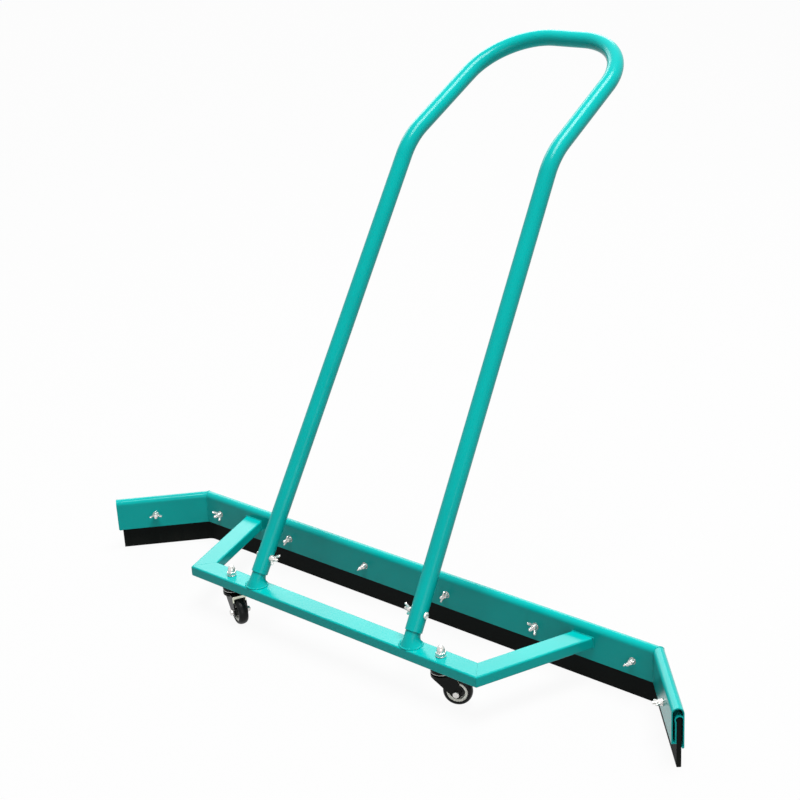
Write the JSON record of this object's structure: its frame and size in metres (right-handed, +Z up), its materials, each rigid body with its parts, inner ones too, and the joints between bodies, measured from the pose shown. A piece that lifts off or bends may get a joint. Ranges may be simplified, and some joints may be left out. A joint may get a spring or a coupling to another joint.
{
  "type": "tennis court squeegee",
  "caption": "Wide court squeegee with a clamped rubber blade, two angled wings, swivel casters and a bent tube push handle.",
  "frame": {"origin": "middle of the rubber blade's wiping edge, on the ground", "axes": "+X along the blade, +Y back towards the person who pushes, +Z up"},
  "size_m": [1.3306, 0.7678, 0.9732],
  "materials": {
    "turquoise_paint": "gloss powder coat",
    "blade_rubber": "matt black rubber",
    "zinc_steel": "bright zinc plate",
    "black_steel": "black plated pressing",
    "tyre_rubber": "satin black rubber",
    "hub_plastic": "cream plastic"
  },
  "bodies": {
    "squeegee_frame": {"main_holder": "turquoise_paint", "left_wing_holder": "turquoise_paint", "right_wing_holder": "turquoise_paint", "rubber_blade": "blade_rubber", "front_crossbar": "turquoise_paint", "left_arm": "turquoise_paint", "right_arm": "turquoise_paint", "left_socket": "turquoise_paint", "right_socket": "turquoise_paint", "push_handle": "turquoise_paint", "blade_bolt_1": "zinc_steel", "blade_bolt_2": "zinc_steel", "blade_bolt_3": "zinc_steel", "blade_bolt_4": "zinc_steel", "blade_bolt_5": "zinc_steel", "blade_bolt_6": "zinc_steel", "blade_bolt_7": "zinc_steel", "blade_bolt_8": "zinc_steel", "handle_bolt_1": "zinc_steel", "handle_bolt_2": "zinc_steel", "left_stem": "zinc_steel", "left_acorn_nut": "zinc_steel", "left_top_race": "zinc_steel", "right_stem": "zinc_steel", "right_acorn_nut": "zinc_steel", "right_top_race": "zinc_steel"},
    "left_caster_swivel": {"left_fork": "black_steel", "left_ball_ring": "zinc_steel", "left_axle_bolt": "zinc_steel", "left_axle_nut": "zinc_steel", "left_axle_sleeve": "zinc_steel"},
    "left_caster_wheel": {"left_wheel_hub": "hub_plastic", "left_tyre": "tyre_rubber"},
    "right_caster_swivel": {"right_fork": "black_steel", "right_ball_ring": "zinc_steel", "right_axle_bolt": "zinc_steel", "right_axle_nut": "zinc_steel", "right_axle_sleeve": "zinc_steel"},
    "right_caster_wheel": {"right_wheel_hub": "hub_plastic", "right_tyre": "tyre_rubber"},
    "blade_washer_1_slide": {"blade_washer_1": "zinc_steel"},
    "blade_wing_nut_1_spin": {"blade_wing_nut_1": "zinc_steel"},
    "blade_washer_2_slide": {"blade_washer_2": "zinc_steel"},
    "blade_wing_nut_2_spin": {"blade_wing_nut_2": "zinc_steel"},
    "blade_washer_3_slide": {"blade_washer_3": "zinc_steel"},
    "blade_wing_nut_3_spin": {"blade_wing_nut_3": "zinc_steel"},
    "blade_washer_4_slide": {"blade_washer_4": "zinc_steel"},
    "blade_wing_nut_4_spin": {"blade_wing_nut_4": "zinc_steel"},
    "blade_washer_5_slide": {"blade_washer_5": "zinc_steel"},
    "blade_wing_nut_5_spin": {"blade_wing_nut_5": "zinc_steel"},
    "blade_washer_6_slide": {"blade_washer_6": "zinc_steel"},
    "blade_wing_nut_6_spin": {"blade_wing_nut_6": "zinc_steel"},
    "blade_washer_7_slide": {"blade_washer_7": "zinc_steel"},
    "blade_wing_nut_7_spin": {"blade_wing_nut_7": "zinc_steel"},
    "blade_washer_8_slide": {"blade_washer_8": "zinc_steel"},
    "blade_wing_nut_8_spin": {"blade_wing_nut_8": "zinc_steel"},
    "handle_washer_1_slide": {"handle_washer_1": "zinc_steel"},
    "handle_wing_nut_1_spin": {"handle_wing_nut_1": "zinc_steel"},
    "handle_washer_2_slide": {"handle_washer_2": "zinc_steel"},
    "handle_wing_nut_2_spin": {"handle_wing_nut_2": "zinc_steel"}
  },
  "joints": [
    {"name": "left_swivel", "type": "hinge", "parent": "squeegee_frame", "child": "left_caster_swivel", "pos_m": [-0.249, -0.2059, 0.058], "axis": [0, 0, 1], "continuous": true},
    {"name": "left_wheel_roll", "type": "hinge", "parent": "left_caster_swivel", "child": "left_caster_wheel", "pos_m": [-0.22507, -0.21606, 0.025], "axis": [0.3907, 0.9205, 0], "continuous": true},
    {"name": "right_swivel", "type": "hinge", "parent": "squeegee_frame", "child": "right_caster_swivel", "pos_m": [0.249, -0.2059, 0.058], "axis": [0, 0, 1], "continuous": true},
    {"name": "right_wheel_roll", "type": "hinge", "parent": "right_caster_swivel", "child": "right_caster_wheel", "pos_m": [0.27217, -0.1941, 0.025], "axis": [-0.454, 0.891, 0], "continuous": true},
    {"name": "blade_washer_1_travel", "type": "slide", "parent": "squeegee_frame", "child": "blade_washer_1_slide", "axis": [0.7431, -0.6691, 0], "range_m": [0, 0.003]},
    {"name": "blade_wing_nut_1_turn", "type": "hinge", "parent": "blade_washer_1_slide", "child": "blade_wing_nut_1_spin", "pos_m": [-0.59959, -0.08919, 0.069], "axis": [0.7431, -0.6691, 0], "range_deg": [0, 990]},
    {"name": "blade_washer_2_travel", "type": "slide", "parent": "squeegee_frame", "child": "blade_washer_2_slide", "axis": [0, -1, 0], "range_m": [0, 0.003]},
    {"name": "blade_wing_nut_2_turn", "type": "hinge", "parent": "blade_washer_2_slide", "child": "blade_wing_nut_2_spin", "pos_m": [-0.49125, -0.0119, 0.069], "axis": [0, -1, 0], "range_deg": [0, 990]},
    {"name": "blade_washer_3_travel", "type": "slide", "parent": "squeegee_frame", "child": "blade_washer_3_slide", "axis": [0, -1, 0], "range_m": [0, 0.003]},
    {"name": "blade_wing_nut_3_turn", "type": "hinge", "parent": "blade_washer_3_slide", "child": "blade_wing_nut_3_spin", "pos_m": [-0.29475, -0.0119, 0.069], "axis": [0, -1, 0], "range_deg": [0, 990]},
    {"name": "blade_washer_4_travel", "type": "slide", "parent": "squeegee_frame", "child": "blade_washer_4_slide", "axis": [0, -1, 0], "range_m": [0, 0.003]},
    {"name": "blade_wing_nut_4_turn", "type": "hinge", "parent": "blade_washer_4_slide", "child": "blade_wing_nut_4_spin", "pos_m": [-0.09825, -0.0119, 0.069], "axis": [0, -1, 0], "range_deg": [0, 990]},
    {"name": "blade_washer_5_travel", "type": "slide", "parent": "squeegee_frame", "child": "blade_washer_5_slide", "axis": [0, -1, 0], "range_m": [0, 0.003]},
    {"name": "blade_wing_nut_5_turn", "type": "hinge", "parent": "blade_washer_5_slide", "child": "blade_wing_nut_5_spin", "pos_m": [0.09825, -0.0119, 0.069], "axis": [0, -1, 0], "range_deg": [0, 990]},
    {"name": "blade_washer_6_travel", "type": "slide", "parent": "squeegee_frame", "child": "blade_washer_6_slide", "axis": [0, -1, 0], "range_m": [0, 0.003]},
    {"name": "blade_wing_nut_6_turn", "type": "hinge", "parent": "blade_washer_6_slide", "child": "blade_wing_nut_6_spin", "pos_m": [0.29475, -0.0119, 0.069], "axis": [0, -1, 0], "range_deg": [0, 990]},
    {"name": "blade_washer_7_travel", "type": "slide", "parent": "squeegee_frame", "child": "blade_washer_7_slide", "axis": [0, -1, 0], "range_m": [0, 0.003]},
    {"name": "blade_wing_nut_7_turn", "type": "hinge", "parent": "blade_washer_7_slide", "child": "blade_wing_nut_7_spin", "pos_m": [0.49125, -0.0119, 0.069], "axis": [0, -1, 0], "range_deg": [0, 990]},
    {"name": "blade_washer_8_travel", "type": "slide", "parent": "squeegee_frame", "child": "blade_washer_8_slide", "axis": [-0.7431, -0.6691, 0], "range_m": [0, 0.003]},
    {"name": "blade_wing_nut_8_turn", "type": "hinge", "parent": "blade_washer_8_slide", "child": "blade_wing_nut_8_spin", "pos_m": [0.59959, -0.08919, 0.069], "axis": [-0.7431, -0.6691, 0], "range_deg": [0, 990]},
    {"name": "handle_washer_1_travel", "type": "slide", "parent": "squeegee_frame", "child": "handle_washer_1_slide", "axis": [1, 0, 0], "range_m": [0, 0.003]},
    {"name": "handle_wing_nut_1_turn", "type": "hinge", "parent": "handle_washer_1_slide", "child": "handle_wing_nut_1_spin", "pos_m": [-0.16748, -0.18045, 0.13264], "axis": [1, 0, 0], "range_deg": [0, 990]},
    {"name": "handle_washer_2_travel", "type": "slide", "parent": "squeegee_frame", "child": "handle_washer_2_slide", "axis": [-1, 0, 0], "range_m": [0, 0.003]},
    {"name": "handle_wing_nut_2_turn", "type": "hinge", "parent": "handle_washer_2_slide", "child": "handle_wing_nut_2_spin", "pos_m": [0.16748, -0.18045, 0.13264], "axis": [-1, 0, 0], "range_deg": [0, 990]}
  ],
  "couplings": [
    {"joint": "blade_washer_1_travel", "follows": "blade_wing_nut_1_turn", "m_per_rad": 0.00015915},
    {"joint": "blade_washer_2_travel", "follows": "blade_wing_nut_2_turn", "m_per_rad": 0.00015915},
    {"joint": "blade_washer_3_travel", "follows": "blade_wing_nut_3_turn", "m_per_rad": 0.00015915},
    {"joint": "blade_washer_4_travel", "follows": "blade_wing_nut_4_turn", "m_per_rad": 0.00015915},
    {"joint": "blade_washer_5_travel", "follows": "blade_wing_nut_5_turn", "m_per_rad": 0.00015915},
    {"joint": "blade_washer_6_travel", "follows": "blade_wing_nut_6_turn", "m_per_rad": 0.00015915},
    {"joint": "blade_washer_7_travel", "follows": "blade_wing_nut_7_turn", "m_per_rad": 0.00015915},
    {"joint": "blade_washer_8_travel", "follows": "blade_wing_nut_8_turn", "m_per_rad": 0.00015915},
    {"joint": "handle_washer_1_travel", "follows": "handle_wing_nut_1_turn", "m_per_rad": 0.00015915},
    {"joint": "handle_washer_2_travel", "follows": "handle_wing_nut_2_turn", "m_per_rad": 0.00015915}
  ]
}
